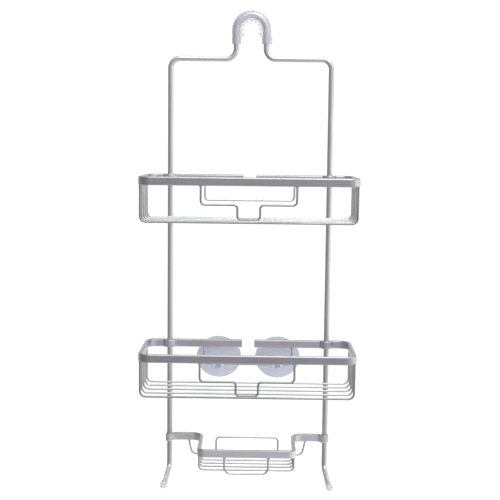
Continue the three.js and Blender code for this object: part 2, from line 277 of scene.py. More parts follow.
class Bar:
    """One length of bar. Each vertex keeps its place in the section and along the bar as its grain."""

    FACET = math.radians(7.5)
    SHORTEST_RUN = 0.001 * MM

    def __init__(self, section, start, heading, up):
        self.mesh = bmesh.new()
        self.grain = self.mesh.verts.layers.float_vector.new("grain")
        section(self.mesh)
        self.verts = list(self.mesh.verts)
        self.edges = list(self.mesh.edges)
        self.first = list(self.edges)
        self.outline = [vertex.co.copy() for vertex in self.verts]
        self.place = start.copy()
        self.reach = 0.0
        side = up.cross(heading).normalized()
        turn = Matrix((side, heading.cross(side), heading)).transposed()
        stand = Matrix.Translation(start) @ turn.to_4x4()
        bmesh.ops.transform(self.mesh, matrix=stand, verts=self.verts)
        self.mark()

    def mark(self):
        """Writes the grain of the newest ring."""
        for vertex, spot in zip(self.verts, self.outline):
            vertex[self.grain] = (spot.x, spot.y, self.reach)

    def step(self, **move):
        """Draws the newest ring one step on."""
        made = bmesh.ops.spin(self.mesh, geom=self.verts + self.edges, steps=1, **move)["geom_last"]
        self.verts = [item for item in made if isinstance(item, bmesh.types.BMVert)]
        self.edges = [item for item in made if isinstance(item, bmesh.types.BMEdge)]
        self.mark()

    def run_to(self, point):
        """Draws the section straight on to a point."""
        travel = point - self.place
        if travel.length > self.SHORTEST_RUN:
            self.reach += travel.length
            self.place = point.copy()
            self.step(cent=point, axis=Z_AXIS, dvec=travel, angle=0.0)

    def turn(self, centre, axis, sweep):
        """Spins the section round a bend."""
        count = math.ceil(sweep / self.FACET)
        radius = (self.place - centre).length
        for _ in range(count):
            self.reach += radius * sweep / count
            self.step(cent=centre, axis=axis, dvec=(0, 0, 0), angle=sweep / count)
        self.place = centre + Matrix.Rotation(sweep, 3, axis) @ (self.place - centre)

    def close(self, soften=0.0):
        """Fills both ends and rounds their edges a little."""
        for ring in (self.first, self.edges):
            bmesh.ops.contextual_create(self.mesh, geom=ring)
            if soften:
                bevel(self.mesh, ring, soften, 2)
        return self.mesh


def spin(mesh, geometry, centre, axis, angle, steps, **settings):
    """Spins geometry round an axis and gives the last of its copies."""
    return bmesh.ops.spin(
        mesh,
        geom=geometry,
        cent=centre,
        axis=axis,
        dvec=(0, 0, 0),
        angle=angle,
        steps=steps,
        **settings,
    )["geom_last"]


def bent_bar(section, corners, up=Z_AXIS, soften=0.0):
    """A bar through corner points, each with the radius of its bend."""
    points = [Vector(corner[:3]) for corner in corners]
    bar = Bar(section, points[0], (points[1] - points[0]).normalized(), up)
    for before, point, after, corner in zip(points, points[1:], points[2:], corners[1:]):
        into = (point - before).normalized()
        away = (after - point).normalized()
        sweep = into.angle(away)
        axis = into.cross(away).normalized()
        start = point - into * corner[3] * math.tan(sweep / 2)
        bar.run_to(start)
        bar.turn(start + axis.cross(into) * corner[3], axis, sweep)
    bar.run_to(points[-1])
    return bar.close(soften)


def round_section(radius, sides):
    """A circle, as a function that draws it in a mesh."""
    def draw(mesh):
        bmesh.ops.create_circle(mesh, cap_ends=False, segments=sides, radius=radius)
    return draw


def strap_section(thickness, height, edge):
    """A flat section with rounded edges, its height upwards."""
    def draw(mesh):
        bmesh.ops.create_grid(mesh, x_segments=1, y_segments=1, size=0.5)
        bmesh.ops.scale(mesh, vec=(thickness, height, 1.0), verts=mesh.verts)
        bevel(mesh, mesh.verts[:], edge, 6, affect="VERTICES")
        bmesh.ops.delete(mesh, geom=mesh.faces[:], context="FACES_ONLY")
    return draw


def mirrored(half):
    """Corners of one half, continued in reverse order on the other side of the middle."""
    left = [(-x, y, z, bend) for x, y, z, bend in half]
    return left + half[::-1]


def piece(mesh, name, material, body, nodes=()):
    """Makes a finished piece of a bmesh and hands it to the frame."""
    bmesh.ops.recalc_face_normals(mesh, faces=mesh.faces)
    data = bpy.data.meshes.new(name)
    mesh.to_mesh(data)
    mesh.free()
    data.shade_smooth()
    data.set_sharp_from_angle(angle=SHARP_ANGLE)
    data.materials.append(material)
    made = bpy.data.objects.new(name, data)
    bpy.context.scene.collection.objects.link(made)
    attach(made, body)
    if nodes:
        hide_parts(*nodes)
    return made


def keep_flat(part):
    """Keeps the shading of broad faces flat up to their rounded edges."""
    weigh = part.modifiers.new("flat faces", "WEIGHTED_NORMAL")
    weigh.keep_sharp = True
    weigh.weight = 100


# ---------------------------------------------------------------- surfaces

def new_material(name):
    material = bpy.data.materials.new(name)
    material.use_nodes = True
    tree = material.node_tree
    return material, tree, tree.nodes["Principled BSDF"]


def add_node(tree, kind, settings=None, **inputs):
    """Adds a node. An input is a value, or the socket that feeds it.

    It is called what the node calls it, with _ for a space, or i and its number.
    """
    node = tree.nodes.new(kind)
    for name, value in (settings or {}).items():
        setattr(node, name, value)
    for name, value in inputs.items():
        number = name[1:]
        socket = node.inputs[int(number) if number.isdigit() else name.replace("_", " ")]
        if isinstance(value, bpy.types.NodeSocket):
            tree.links.new(value, socket)
        else:
            socket.default_value = value
    return node


def noise(tree, vector, scale, detail=2.0, roughness=0.5):
    made = add_node(
        tree, "ShaderNodeTexNoise", Vector=vector, Scale=scale, Detail=detail, Roughness=roughness
    )
    return made.outputs["Fac"]


def stretch(tree, vector, factors):
    made = add_node(tree, "ShaderNodeVectorMath", {"operation": "MULTIPLY"}, i0=vector, i1=factors)
    return made.outputs[0]


def remap(tree, value, low, high, to_low, to_high):
    """Maps a value from one range to another with a smooth start and end."""
    made = add_node(
        tree, "ShaderNodeMapRange", {"interpolation_type": "SMOOTHSTEP"},
        Value=value, From_Min=low, From_Max=high, To_Min=to_low, To_Max=to_high,
    )
    return made.outputs["Result"]


def math_node(tree, operation, *values):
    inputs = {f"i{i}": value for i, value in enumerate(values)}
    return add_node(tree, "ShaderNodeMath", {"operation": operation}, **inputs).outputs[0]


def blend_colour(tree, factor, first, second):
    """Blends two colours, each a tint or the socket that gives it."""
    made = tree.nodes.new("ShaderNodeMix")
    made.data_type = "RGBA"
    for socket, value in zip((made.inputs[0], made.inputs[6], made.inputs[7]), (factor, first, second)):
        if isinstance(value, bpy.types.NodeSocket):
            tree.links.new(value, socket)
        elif socket.type == "RGBA":
            socket.default_value = (*value, 1.0)
        else:
            socket.default_value = value
    return made.outputs[2]


def mottled(tree, factor, tint, low, high):
    """A tint that varies between two shares of itself."""
    darker = [low * part for part in tint]
    lighter = [min(1.0, high * part) for part in tint]
    return blend_colour(tree, factor, darker, lighter)


def along(tree, vector, axis):
    return add_node(tree, "ShaderNodeSeparateXYZ", Vector=vector).outputs[axis]


def object_coordinates(tree):
    return tree.nodes.new("ShaderNodeTexCoord").outputs["Object"]


def grain_coordinates(tree):
    return add_node(tree, "ShaderNodeAttribute", {"attribute_name": "grain"}).outputs["Vector"]


def add_bump(tree, shader, height, strength, distance):
    bump = add_node(tree, "ShaderNodeBump", Height=height, Strength=strength, Distance=distance)
    tree.links.new(bump.outputs["Normal"], shader.inputs["Normal"])


def scuff_marks(tree, here):
    """Sparse small scuffs, longer along Z than across."""
    spots = noise(tree, stretch(tree, here, (900.0, 900.0, 260.0)), 1.0, 1.0)
    return remap(tree, spots, 0.66, 0.74, 0.0, 1.0)


def satin_aluminium(name, tint, draw_lines, roughness, edge_shade=None, front_shade=None):
    """Anodised aluminium with fine lines along the bar, faint clouding and small scuffs, and, where
    asked, painted shade on the upper edges and at the front.
    """
    material, tree, shader = new_material(name)
    grain = grain_coordinates(tree)
    here = object_coordinates(tree)
    lines = noise(tree, stretch(tree, grain, (draw_lines, draw_lines, 26.0)), 1.0, 5.0, 0.62)
    clouds = noise(tree, here, 34.0, 3.0)
    scuffs = scuff_marks(tree, here)
    shade = mottled(tree, clouds, tint, 0.90, 1.10)
    # Painted shade: darker towards the rounded upper edge of the section.
    if edge_shade:
        start, end, edge_shade_tint = edge_shade
        edge = remap(tree, along(tree, grain, "Y"), start, end, 0.0, 1.0)
        shade = blend_colour(tree, edge, shade, edge_shade_tint)
    # Painted shade: darker towards the front along Y.
    if front_shade:
        start, end, front_shade_tint = front_shade
        front = remap(tree, along(tree, here, "Y"), start, end, 0.0, 1.0)
        shade = blend_colour(tree, front, shade, mottled(tree, clouds, front_shade_tint, 0.94, 1.06))
    streaks = remap(tree, lines, 0.3, 0.7, 0.0, 0.22)
    streaked = blend_colour(tree, streaks, shade, (0.72, 0.73, 0.75))
    scuffed = blend_colour(tree, math_node(tree, "MULTIPLY", scuffs, 0.25), streaked, (0.8, 0.8, 0.8))
    tree.links.new(scuffed, shader.inputs["Base Color"])
    drawn = remap(tree, lines, 0.25, 0.75, roughness - 0.05, roughness + 0.07)
    dullness = math_node(tree, "ADD", drawn, math_node(tree, "MULTIPLY", scuffs, 0.08))
    tree.links.new(dullness, shader.inputs["Roughness"])
    shader.inputs["Metallic"].default_value = 1.0
    add_bump(tree, shader, lines, 0.35, 0.12 * MM)
    return material


def edge_shade_band(strap, node, tint):
    """Where a strap's flat face gives way to its rounded upper edge, as heights in its section: the band
    that takes painted shade.
    """
    low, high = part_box(node)
    half_height = (high.z - low.z) / 2
    return half_height - strap.edge, half_height - 0.4 * strap.edge, tuple(tint)


def front_shade_zone(depth, tint):
    """Where the painted shade at the front of the baskets begins and is complete, as places along Y."""
    blend = 5.5 * MM
    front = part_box("upper_band")[0].y
    return front + depth + blend, front + depth, tuple(tint)


def strap_metal(strap, tint, edge_shade_tint, front_shade_tint):
    # Painted shade on the strap's rounded upper edges.
    edge = edge_shade_band(strap, "upper_band", edge_shade_tint)
    # Painted shade at the front of the basket's strap.
    front = front_shade_zone(2.5 * MM, front_shade_tint)
    return satin_aluminium("anodised_strap_painted_shade", tint, 900.0, 0.36, edge, front)


def rail_metal(strap, tint, edge_shade_tint):
    # Painted shade on the rail's rounded upper edges.
    return satin_aluminium("anodised_rail_painted_shade", tint, 900.0, 0.36, edge_shade_band(strap, "dish_rail", edge_shade_tint))


def weld_metal(tint):
    """Weld metal with fine ripples and a slightly sooty skirt."""
    material, tree, shader = new_material("weld_metal")
    here = object_coordinates(tree)
    rings = add_node(
        tree, "ShaderNodeTexWave", {"wave_type": "RINGS"},
        Vector=here, Scale=420.0, Distortion=2.5, Detail=2.0,
    )
    soot = noise(tree, here, 700.0, 4.0)
    tree.links.new(mottled(tree, soot, tint, 0.72, 1.15), shader.inputs["Base Color"])
    tree.links.new(remap(tree, soot, 0.3, 0.7, 0.34, 0.52), shader.inputs["Roughness"])
    shader.inputs["Metallic"].default_value = 1.0
    add_bump(tree, shader, rings.outputs["Fac"], 0.5, 0.15 * MM)
    return material


def moulded_plastic(name, tint, clearness, roughness):
    """Soft translucent plastic: a faint cloudiness, a fine moulded texture and a few specks of dust."""
    material, tree, shader = new_material(name)
    here = object_coordinates(tree)
    cloud = noise(tree, here, 60.0, 3.0)
    texture = noise(tree, here, 900.0)
    dust = remap(tree, noise(tree, here, 1500.0, 1.0), 0.72, 0.78, 0.0, 0.25)
    body = mottled(tree, cloud, tint, 0.965, 1.03)
    tree.links.new(blend_colour(tree, dust, body, (0.93, 0.93, 0.93)), shader.inputs["Base Color"])
    tree.links.new(remap(tree, cloud, 0.3, 0.7, roughness, roughness + 0.06), shader.inputs["Roughness"])
    shader.inputs["Transmission Weight"].default_value = clearness
    shader.inputs["IOR"].default_value = 1.42
    add_bump(tree, shader, texture, 0.06, 0.06 * MM)
    return material


def sleeve_plastic(tint):
    return moulded_plastic("sleeve_plastic", tint, 0.7, 0.12)


def cap_plastic(tint):
    return moulded_plastic("cap_plastic", tint, 0.75, 0.10)


def highlight_bush_plastic(tint):
    # Partly painted highlight: milky plastic, whitened and made less clear to stand in for the highlight
    # on the bush.
    return moulded_plastic("highlight_bush_plastic", tint, 0.2, 0.15)


def cup_vinyl(tint):
    return moulded_plastic("cup_vinyl", tint, 0.62, 0.16)


def floor_paint(tint):
    """A matt white floor that keeps its own brightness, so that the ground melts into the backdrop."""
    material, tree, shader = new_material("floor_paint")
    here = object_coordinates(tree)
    mottle = noise(tree, here, 3.0, 3.0)
    tree.links.new(mottled(tree, mottle, tint, 0.985, 1.0), shader.inputs["Base Color"])
    shader.inputs["Roughness"].default_value = 0.8
    shader.inputs["Emission Color"].default_value = WHITE
    shader.inputs["Emission Strength"].default_value = 0.45
    return material


# ---------------------------------------------------------------- hanger

def hanger_corners(rod):
    """The arch's radius, and the corner points from one hook's tip over the arch to the other's."""
    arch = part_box("hanger_frame")[1].z - rod.radius
    bottom = -rod.hook_height
    knee = (
        rod.post + rod.hook_splay * rod.knee,
        -rod.hook_reach * rod.knee,
        bottom - rod.hook_drop * rod.knee_drop,
        rod.knee_bend,
    )
    half = [
        (arch, 0.0, arch, arch),
        (arch, 0.0, -rod.shoulder, rod.neck_bend),
        (rod.post, 0.0, -rod.shoulder, rod.shoulder_bend),
        (rod.post, 0.0, bottom, rod.hook_bend),
        knee,
        (rod.post + rod.hook_splay, -rod.hook_reach, bottom - rod.hook_drop, 0.0),
    ]
    return arch, mirrored(half[::-1])


class CADDY_OT_bend_rod(bpy.types.Operator):
    """Bend the hanger from one length of rod"""
    bl_idname = "caddy.bend_rod"
    bl_label = "Bend the hanger rod"

    def execute(self, context):
        rod = context.scene.caddy_rod
        tint = context.scene.caddy_finish.rod
        _, corners = hanger_corners(rod)
        mesh = bent_bar(round_section(rod.radius, 32), corners, up=X_AXIS, soften=0.4 * MM)
        metal = satin_aluminium("drawn_rod", tint, 1400.0, 0.33)
        piece(mesh, "hanger_rod", metal, "frame", ["hanger_frame"])
        return {"FINISHED"}


# ---------------------------------------------------------------- sleeve

def copy_into(target, source):
    """Moves one bmesh's geometry into another."""
    data = bpy.data.meshes.new("part")
    source.to_mesh(data)
    source.free()
    target.from_mesh(data)
    bpy.data.meshes.remove(data)


def add_arch_tube(target, arch, radius, end):
    """Adds a tube over the arch to a mesh, closed at both ends."""
    corners = mirrored([(arch, 0.0, end, 0.0), (arch, 0.0, arch, arch)])
    tube = bent_bar(round_section(radius, 40), corners, up=X_AXIS, soften=0.5 * MM)
    bmesh.ops.recalc_face_normals(tube, faces=tube.faces)
    copy_into(target, tube)


def add_lug(mesh, start, low, high):
    """Adds the pull lug that stands out on the right at the sleeve's foot."""
    height = 12 * MM
    width = 7 * MM
    lug = bmesh.ops.create_cube(mesh, size=1.0)["verts"]
    bmesh.ops.scale(mesh, vec=(high.x - start, width, height), verts=lug)
    bmesh.ops.translate(mesh, vec=((high.x + start) / 2, 0.0, low.z + height / 2), verts=lug)


def toothed_web(plastic, arch):
    """A ring sector, spun from one radial edge and drawn in to a blunt tooth at every pitch.

    Each pitch is spun in some steps, and the sector ends a margin of steps past its last teeth.
    A tooth's foot is its half width and its flank the run of its slope, both as shares of a pitch.
    """
    steps = 8
    margin = 3
    foot = 0.27
    flank = 0.13
    count = (plastic.teeth - 1) * steps + 2 * margin
    first = plastic.tooth_first - margin * plastic.tooth_pitch / steps
    sweep = count * plastic.tooth_pitch / steps
    mesh = bmesh.new()
    inner = mesh.verts.new((plastic.tooth_root, 0.0, 0.0))
    outer = mesh.verts.new((arch, 0.0, 0.0))
    edge = mesh.edges.new((inner, outer))
    bmesh.ops.rotate(mesh, verts=mesh.verts, cent=(0, 0, 0), matrix=Matrix.Rotation(-first, 3, "Y"))
    spin(mesh, [inner, outer, edge], (0, 0, 0), Y_AXIS, -sweep, count)
    for vertex in mesh.verts:
        radius = vertex.co.length
        if radius < (plastic.tooth_root + arch) / 2:
            around = (math.atan2(vertex.co.z, vertex.co.x) - plastic.tooth_first) % FULL_TURN
            offset = abs(around / plastic.tooth_pitch - round(around / plastic.tooth_pitch))
            height = max(0.0, min(1.0, (foot - offset) / flank))
            vertex.co *= (radius - (plastic.tooth_root - plastic.tooth_tip) * height) / radius
    bmesh.ops.translate(mesh, verts=mesh.verts, vec=(0.0, -plastic.web / 2, 0.0))
    made = bmesh.ops.extrude_face_region(mesh, geom=mesh.faces[:])["geom"]
    far = [item for item in made if isinstance(item, bmesh.types.BMVert)]
    bmesh.ops.translate(mesh, verts=far, vec=(0.0, plastic.web, 0.0))
    bmesh.ops.recalc_face_normals(mesh, faces=mesh.faces)
    return mesh


def fuse(body, voxel):
    """Fuses overlapping bodies into one softly rounded moulding, and keeps the result as the mesh."""
    remesh = body.modifiers.new("fuse", "REMESH")
    remesh.mode = "VOXEL"
    remesh.voxel_size = voxel
    remesh.use_smooth_shade = True
    soften = body.modifiers.new("soften", "SMOOTH")
    soften.factor = 0.5
    soften.iterations = 8
    graph = bpy.context.evaluated_depsgraph_get()
    finished = bpy.data.meshes.new_from_object(body.evaluated_get(graph))
    body.modifiers.clear()
    rough = body.data
    body.data = finished
    bpy.data.meshes.remove(rough)
    finished.name = body.name
    finished.shade_smooth()


class CADDY_OT_mould_sleeve(bpy.types.Operator):
    """Mould the toothed sleeve that grips the shower arm"""
    bl_idname = "caddy.mould_sleeve"
    bl_label = "Mould the sleeve"

    def execute(self, context):
        rod = context.scene.caddy_rod
        plastic = context.scene.caddy_plastic
        arch, _ = hanger_corners(rod)
        low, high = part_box("hook_sleeve")
        material = sleeve_plastic(context.scene.caddy_finish.sleeve)
        mesh = bmesh.new()
        add_arch_tube(mesh, arch, high.z - arch, low.z)
        copy_into(mesh, toothed_web(plastic, arch))
        add_lug(mesh, arch + rod.radius + 0.9 * MM, low, high)
        sleeve = piece(mesh, "arm_sleeve", material, "frame", ["hook_sleeve"])
        fuse(sleeve, plastic.voxel)
        return {"FINISHED"}


# ---------------------------------------------------------------- turned pieces

def turned(profile, axis, segments):
    """Spins a profile, given as (radius, distance along the axis), round an axis through the origin."""
    mesh = bmesh.new()
    side = Z_AXIS if abs(axis.z) < 0.5 else X_AXIS
    verts = [mesh.verts.new(side * radius + axis * along) for radius, along in profile]
    edges = [mesh.edges.new(pair) for pair in zip(verts, verts[1:])]
    spin(mesh, verts + edges, (0, 0, 0), axis, FULL_TURN, segments, use_merge=True)
    bmesh.ops.remove_doubles(mesh, verts=mesh.verts, dist=1e-7)
    return mesh


def arc_points(centre, radius, start, end, count):
    """Points on an arc in a profile's plane, angles in degrees from the radius direction."""
    points = []
    for i in range(count + 1):
        turn = math.radians(start + (end - start) * i / count)
        points.append((centre[0] + radius * math.cos(turn), centre[1] + radius * math.sin(turn)))
    return points


def curve_points(first, pull, last, count):
    """Points on a smooth curve that leaves first towards pull and reaches last."""
    points = []
    for i in range(count + 1):
        t = i / count
        points.append(tuple(
            (1 - t) ** 2 * a + 2 * t * (1 - t) * b + t * t * c for a, b, c in zip(first, pull, last)
        ))
    return points


def cap_profile(plastic):
    """A ball with a neck and a small rolled lip at its back."""
    ball = plastic.cap
    back = -plastic.cap_depth
    lip = 0.45 * MM
    profile = [(0.0, back), (ball - 2.4 * lip, back)]
    profile += arc_points((ball - 2 * lip, back + lip), lip, -90, 0, 3)
    profile += [(ball - 1.4 * lip, back + 2.2 * MM), (ball - 1.1 * lip, back + 3.4 * MM)]
    profile += arc_points((0.0, 0.0), ball, -20, 90, 14)
    return profile


class CADDY_OT_fit_caps(bpy.types.Operator):
    """Fit the round caps on the hook tips"""
    bl_idname = "caddy.fit_caps"
    bl_label = "Fit the tip caps"

    def execute(self, context):
        rod = context.scene.caddy_rod
        material = cap_plastic(context.scene.caddy_finish.cap)
        profile = cap_profile(context.scene.caddy_plastic)
        _, corners = hanger_corners(rod)
        for name, (knee, tip) in {"left": corners[1::-1], "right": corners[-2:]}.items():
            heading = (Vector(tip[:3]) - Vector(knee[:3])).normalized()
            mesh = turned(profile, Z_AXIS, 36)
            place = Matrix.Translation(tip[:3]) @ heading.to_track_quat("Z", "Y").to_matrix().to_4x4()
            bmesh.ops.transform(mesh, matrix=place, verts=mesh.verts)
            piece(mesh, f"{name}_tip_cap", material, "frame", [f"{name}_hook_cap"])
        return {"FINISHED"}


# ---------------------------------------------------------------- straps

def joggle(strap, rod, x, z):
    """Corners of the half-round set in a strap where it passes in front of a post."""
    radius = rod.radius + strap.play + strap.thickness / 2
    reach = math.sqrt(radius ** 2 + 2 * radius * strap.fillet)
    sweep = math.pi / 2 - math.atan2(strap.fillet, reach)
    foot = reach - strap.fillet * math.tan(sweep / 2)
    brow = radius * math.tan(sweep / 2)
    return [
        (x - foot, 0.0, z, strap.fillet),
        (x - brow, -radius, z, radius),
        (x + brow, -radius, z, radius),
        (x + foot, 0.0, z, strap.fillet),
    ]


def basket_corners(strap, rod, node):
    low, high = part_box(node)
    z = (low.z + high.z) / 2
    side = high.x - strap.thickness / 2
    front = low.y + strap.thickness / 2
    return mirrored([
        (strap.slot / 2, 0.0, z, 0.0),
        *joggle(strap, rod, rod.post, z),
        (side, 0.0, z, strap.basket_corner),
        (side, front, z, strap.basket_corner),
    ])


def rail_end(strap, rod, x, z):
    """Corners of the rail's end, which turns a little round the front of its post and stops there."""
    radius = rod.radius + strap.play + strap.thickness / 2
    foot, brow = joggle(strap, rod, x, z)[:2]
    wrap = strap.rail_wrap
    return [
        (x + radius * math.sin(wrap) + strap.rail_tail * math.cos(wrap),
         strap.rail_tail * math.sin(wrap) - radius * math.cos(wrap), z, 0.0),
        (x + radius * math.tan(wrap / 2), -radius, z, radius),
        brow,
        foot,
    ]


def rail_corners(strap, rod):
    low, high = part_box("dish_rail")
    z = (low.z + high.z) / 2
    return mirrored([
        *rail_end(strap, rod, rod.post, z),
        (strap.dish_side, 0.0, z, strap.dish_rear_bend),
        (strap.dish_side, low.y + strap.thickness / 2, z, strap.dish_front_bend),
    ])


def make_strap(name, node, section, corners, material):
    mesh = bent_bar(section, corners, soften=0.35 * MM)
    keep_flat(piece(mesh, name, material, "frame", [node]))


class CADDY_OT_form_straps(bpy.types.Operator):
    """Form the basket straps and the soap dish rail"""
    bl_idname = "caddy.form_straps"
    bl_label = "Form the straps"

    def execute(self, context):
        rod = context.scene.caddy_rod
        strap = context.scene.caddy_strap
        finish = context.scene.caddy_finish
        basket_metal = strap_metal(strap, finish.strap, finish.strap_edge_shade, finish.strap_front_shade)
        dish_metal = rail_metal(strap, finish.rail, finish.strap_edge_shade)
        low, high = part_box("upper_band")
        section = strap_section(strap.thickness, high.z - low.z, strap.edge)
        for basket in BASKETS:
            node = f"{basket}_band"
            make_strap(f"{basket}_strap", node, section, basket_corners(strap, rod, node), basket_metal)
        make_strap("dish_strap", "dish_rail", section, rail_corners(strap, rod), dish_metal)
        return {"FINISHED"}


# ---------------------------------------------------------------- wires

def wire_radius():
    low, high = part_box("upper_floor_wire_1")
    return (high.y - low.y) / 2


def u_corners(node, bend, upside_down=False, taper=0.0):
    """Corners of a U-shaped wire from its CAD box; its legs may lean in towards the bottom."""
    low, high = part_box(node)
    radius = wire_radius()
    x = high.x - radius
    y = (low.y + high.y) / 2
    ends, crossbar = (low.z, high.z - radius) if upside_down else (high.z, low.z + radius)
    return mirrored([(x, y, ends, 0.0), (x - taper, y, crossbar, bend)])


def front_guard_corners(node, rear_node, wire):
    """A front guard steps in to its stem at the level of the rear guard's bar."""
    low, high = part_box(node)
    radius = wire_radius()
    side = high.x - radius
    y = (low.y + high.y) / 2
    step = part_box(rear_node)[0].z + radius
    stem_bend = 0.9 * wire.guard_bend
    return mirrored([
        (side, y, high.z, 0.0),
        (side, y, step, wire.guard_bend),
        (wire.stem / 2, y, step, stem_bend),
        (wire.stem / 2, y, low.z + radius, stem_bend),
    ])


def make_wire(name, node, corners, material):
    mesh = bent_bar(round_section(wire_radius(), 16), corners, up=Y_AXIS, soften=0.15 * MM)
    piece(mesh, name, material, "frame", [node])


def wire_metal(tint, front_shade_tint):
    # Painted shade on the wires near the baskets' front.
    front = front_shade_zone(16.5 * MM, front_shade_tint)
    return satin_aluminium("drawn_wire_painted_shade", tint, 2200.0, 0.34, front_shade=front)


class CADDY_OT_form_basket_wires(bpy.types.Operator):
    """Bend the floor and guard wires of both baskets"""
    bl_idname = "caddy.form_basket_wires"
    bl_label = "Bend the basket wires"

    def execute(self, context):
        wire = context.scene.caddy_wire
        finish = context.scene.caddy_finish
        metal = wire_metal(finish.wire, finish.wire_front_shade)
        for basket in BASKETS:
            for row in ROWS:
                node = f"{basket}_floor_wire_{row}"
                make_wire(f"{basket}_floor_bar_{row}", node, u_corners(node, wire.floor_bend), metal)
            rear = f"{basket}_rear_guard"
            front = f"{basket}_front_guard"
            make_wire(f"{basket}_rear_bar", rear, u_corners(rear, wire.guard_bend), metal)
            make_wire(f"{basket}_front_bar", front, front_guard_corners(front, rear, wire), metal)
        return {"FINISHED"}


class CADDY_OT_form_dish_wires(bpy.types.Operator):
    """Bend the wires of the soap dish"""
    bl_idname = "caddy.form_dish_wires"
    bl_label = "Bend the dish wires"

    def execute(self, context):
        wire = context.scene.caddy_wire
        finish = context.scene.caddy_finish
        metal = wire_metal(finish.wire, finish.wire_front_shade)
        for row in ROWS:
            node = f"dish_floor_wire_{row}"
            make_wire(f"dish_floor_bar_{row}", node, u_corners(node, wire.dish_bend), metal)
        back = u_corners("dish_back_wire", wire.back_bend, taper=wire.back_taper)
        make_wire("dish_back_bar", "dish_back_wire", back, metal)
        arch = u_corners("dish_back_arch", wire.dish_bend, upside_down=True)
        make_wire("dish_back_hoop", "dish_back_arch", arch, metal)
        make_wire("washcloth_hoop", "washcloth_loop", u_corners("washcloth_loop", wire.loop_bend), metal)
        return {"FINISHED"}


# ---------------------------------------------------------------- welds

def add_bead(mesh, place, half_x, half_y, half_height):
    """A small crowned bead round the end of a wire."""
    bead = bmesh.ops.create_uvsphere(mesh, u_segments=16, v_segments=10, radius=1.0)["verts"]
    bmesh.ops.scale(mesh, vec=(half_x, half_y, half_height), verts=bead)
    bmesh.ops.translate(mesh, vec=place, verts=bead)


def add_seam(mesh, x, z, radius, thickness):
    """A weld seam round the front of a post, on the edge of the strap that holds it."""
    ring = bmesh.ops.create_circle(mesh, cap_ends=False, segments=10, radius=thickness)["verts"]
    bmesh.ops.rotate(mesh, verts=ring, cent=(0, 0, 0), matrix=Matrix.Rotation(math.pi / 2, 3, "Y"))
    bmesh.ops.translate(mesh, vec=(x, -radius, z), verts=ring)
    half_sweep = math.radians(68)
    bmesh.ops.rotate(mesh, verts=ring, cent=(x, 0, z), matrix=Matrix.Rotation(-half_sweep, 3, "Z"))
    edges = list(dict.fromkeys(edge for vertex in ring for edge in vertex.link_edges))
    last = spin(mesh, ring + edges, (x, 0, z), Z_AXIS, 2 * half_sweep, 18)
    for rim in (edges, [item for item in last if isinstance(item, bmesh.types.BMEdge)]):
        bmesh.ops.contextual_create(mesh, geom=rim)


def add_post_seams(mesh, node, rod):
    """Adds the seams on both edges of a strap, at both posts."""
    inset = 0.1 * MM
    low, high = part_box(node)
    for side in SIDES.values():
        for edge in (low.z + inset, high.z - inset):
            add_seam(mesh, side * rod.post, edge, rod.radius + 0.25 * MM, 0.75 * MM)


def wire_ends(node, top=True):
    """The middles of a wire's two ends."""
    low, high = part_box(node)
    radius = wire_radius()
    y = (low.y + high.y) / 2
    z = high.z if top else low.z
    return [(side * (high.x - radius), y, z) for side in SIDES.values()]


class CADDY_OT_lay_welds(bpy.types.Operator):
    """Lay the weld beads that join the wires, the straps and the posts"""
    bl_idname = "caddy.lay_welds"
    bl_label = "Lay the welds"

    def execute(self, context):
        rod = context.scene.caddy_rod
        wire = context.scene.caddy_wire
        metal = weld_metal(context.scene.caddy_finish.weld)
        height = 0.62 * wire.bead
        along_x = {basket: [f"{basket}_front_guard", f"{basket}_rear_guard"] for basket in BASKETS}
        along_x["dish"] = ["dish_back_wire", "washcloth_loop"]
        straps = {"upper": "upper_band", "lower": "lower_band", "dish": "dish_rail"}
        for name, nodes in along_x.items():
            mesh = bmesh.new()
            for row in ROWS:
                for place in wire_ends(f"{name}_floor_wire_{row}"):
                    add_bead(mesh, place, wire.bead, wire.bead_reach, height)
            for node in nodes:
                for place in wire_ends(node):
                    add_bead(mesh, place, wire.bead_reach, wire.bead, height)
            add_post_seams(mesh, straps[name], rod)
            if name == "dish":
                for place in wire_ends("dish_back_arch", top=False):
                    add_bead(mesh, place, wire.bead_reach, wire.bead, height)
            piece(mesh, f"{name}_welds", metal, "frame")
        return {"FINISHED"}


# ---------------------------------------------------------------- suction cups

def cup_place(name):
    """The frame of a cup: its origin on the wire, its Y along the cup's axis to the wall."""
    joint = next(joint for joint in frame["joints"] if joint["name"] == f"{name}_cup_swing")
    mount = next(mount for mount in frame["record"]["mounts"] if mount["name"] == f"{name}_cup_rim")
    tilt = math.atan2(mount["axis"][2], mount["axis"][1])
    return Matrix.Translation(joint["pos_m"]) @ Matrix.Rotation(tilt, 4, "X")


def open_ring(inner, outer, width, mouth, edge):
    """A ring along X with a snap mouth at the bottom and softened edges."""
    mesh = bmesh.new()
    bmesh.ops.create_grid(mesh, x_segments=1, y_segments=1, size=0.5)
    bmesh.ops.scale(mesh, vec=(width, outer - inner, 1.0), verts=mesh.verts)
    bmesh.ops.translate(mesh, vec=(0.0, (inner + outer) / 2, 0.0), verts=mesh.verts)
    start = -math.pi / 2 + mouth / 2
    bmesh.ops.rotate(mesh, verts=mesh.verts, cent=(0, 0, 0), matrix=Matrix.Rotation(start, 3, "X"))
    section = mesh.verts[:] + mesh.edges[:] + mesh.faces[:]
    spin(mesh, section, (0, 0, 0), X_AXIS, FULL_TURN - mouth, 30)
    bmesh.ops.recalc_face_normals(mesh, faces=mesh.faces)
    corner = math.radians(50)
    corners = [item for item in mesh.edges if item.is_manifold and item.calc_face_angle() > corner]
    bevel(mesh, corners, edge, 3)
    return mesh


